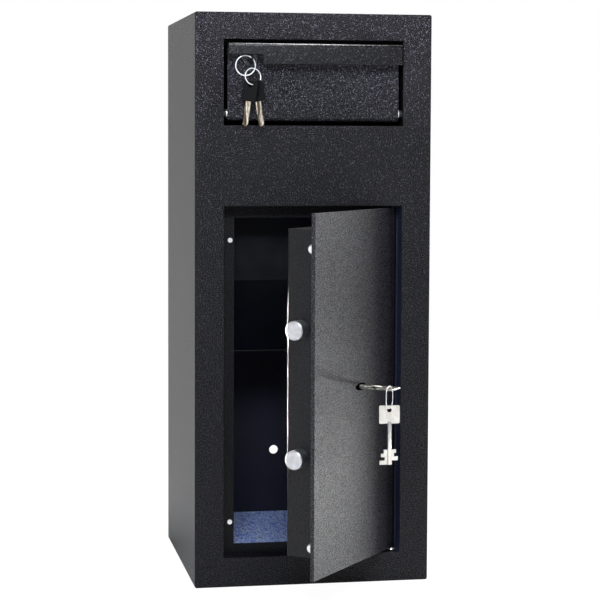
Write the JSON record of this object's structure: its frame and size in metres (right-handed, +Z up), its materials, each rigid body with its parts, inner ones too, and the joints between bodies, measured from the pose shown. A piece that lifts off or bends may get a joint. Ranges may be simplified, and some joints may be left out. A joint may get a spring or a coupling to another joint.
{
  "type": "drop safe",
  "caption": "Steel floor-standing drop safe with a tilt-out deposit hopper above a recessed key-locked door, shown open with keys.",
  "frame": {"origin": "centre of the cabinet's base on the floor", "axes": "+X right seen from the front, +Y towards the back, +Z up; the door stands 51.5 degrees open at rest"},
  "size_m": [0.35, 0.528, 0.84],
  "materials": {
    "cabinet_paint": "textured powder coat",
    "door_paint": "textured powder coat",
    "chute_paint": "smooth semi-gloss paint",
    "felt": "flecked felt",
    "zinc": "zinc plated",
    "dark_steel": "blackened",
    "bright_steel": "plated",
    "lock_steel": "satin",
    "chrome": "polished",
    "key_nickel": "nickel plated",
    "wire_steel": "bright wire",
    "black_plastic": "fine grain"
  },
  "bodies": {
    "cabinet": {"body_wrap": "cabinet_paint", "back_panel": "cabinet_paint", "front_panel": "cabinet_paint", "hopper_frame": "cabinet_paint", "door_frame": "cabinet_paint", "frame_screws": "zinc", "inner_floor": "cabinet_paint", "floor_mat": "felt", "drop_chute": "chute_paint", "throat_guard": "chute_paint", "hinge_pins": "zinc", "hinge_washer": "bright_steel", "pivot_pins": "zinc", "pivot_washers": "bright_steel", "pivot_spacers": "dark_steel", "pivot_nuts": "zinc"},
    "door": {"door_plate": "door_paint", "hinge_rod": "door_paint", "door_cover": "door_paint", "cover_brackets": "door_paint", "cover_screws": "bright_steel", "lock_case": "lock_steel", "lock_cover": "lock_steel", "lock_screws": "zinc", "bolt_guides": "lock_steel"},
    "bolts": {"upper_bolt": "chrome", "lower_bolt": "chrome", "bolt_bar": "lock_steel", "bolt_screws": "zinc", "drive_arm": "lock_steel"},
    "lock_key": {"door_key": "key_nickel"},
    "key_loop": {"wire_loop": "wire_steel"},
    "spare_key": {"spare_key": "key_nickel"},
    "hopper": {"hopper_panel": "cabinet_paint", "handle_lip": "cabinet_paint", "cheek_left": "cabinet_paint", "cheek_right": "cabinet_paint", "hopper_floor": "cabinet_paint", "lock_barrel": "chrome", "barrel_nut": "zinc"},
    "cam_plug": {"lock_plug": "chrome", "latch_cam": "zinc", "cam_screw": "zinc", "hopper_key_blade": "key_nickel", "hopper_key_head": "black_plastic"},
    "key_bunch": {"large_ring": "wire_steel", "small_ring": "wire_steel", "ring_key_a_blade": "key_nickel", "ring_key_a_head": "black_plastic", "ring_key_b_blade": "key_nickel", "ring_key_b_head": "black_plastic"}
  },
  "joints": [
    {"name": "door_hinge", "type": "hinge", "parent": "cabinet", "child": "door", "pos_m": [0.1245, -0.152, 0.3], "axis": [0, 0, 1], "range_deg": [-51.5, 43.5]},
    {"name": "lock_key_turn", "type": "hinge", "parent": "door", "child": "lock_key", "pos_m": [0.05744, -0.24113, 0.302], "axis": [0.7826, -0.6225, 0], "range_deg": [0, 90]},
    {"name": "bolt_slide", "type": "slide", "parent": "door", "child": "bolts", "axis": [0.6225, 0.7826, 0], "range_m": [0, 0.02]},
    {"name": "loop_swing", "type": "hinge", "parent": "lock_key", "child": "key_loop", "pos_m": [0.05744, -0.24113, 0.302], "axis": [0.7826, -0.6225, 0], "range_deg": [-90, 0]},
    {"name": "spare_key_swing", "type": "hinge", "parent": "key_loop", "child": "spare_key", "pos_m": [0.09106, -0.27918, 0.27481], "axis": [0, -1, 0], "range_deg": [-20, 20]},
    {"name": "hopper_tilt", "type": "hinge", "parent": "cabinet", "child": "hopper", "pos_m": [0, -0.161, 0.694], "axis": [1, 0, 0], "range_deg": [0, 55]},
    {"name": "cam_lock_turn", "type": "hinge", "parent": "hopper", "child": "cam_plug", "pos_m": [-0.094, -0.17, 0.774], "axis": [0, -1, 0], "range_deg": [-90, 0]},
    {"name": "bunch_swing", "type": "hinge", "parent": "hopper", "child": "key_bunch", "pos_m": [-0.094, -0.1854, 0.774], "axis": [1, 0, 0], "range_deg": [-55, 0]}
  ],
  "couplings": [
    {"joint": "lock_key_turn", "follows": "bolt_slide", "rad_per_m": 78.53},
    {"joint": "loop_swing", "follows": "bolt_slide", "rad_per_m": -78.53},
    {"joint": "bunch_swing", "follows": "hopper_tilt", "ratio": -1}
  ]
}
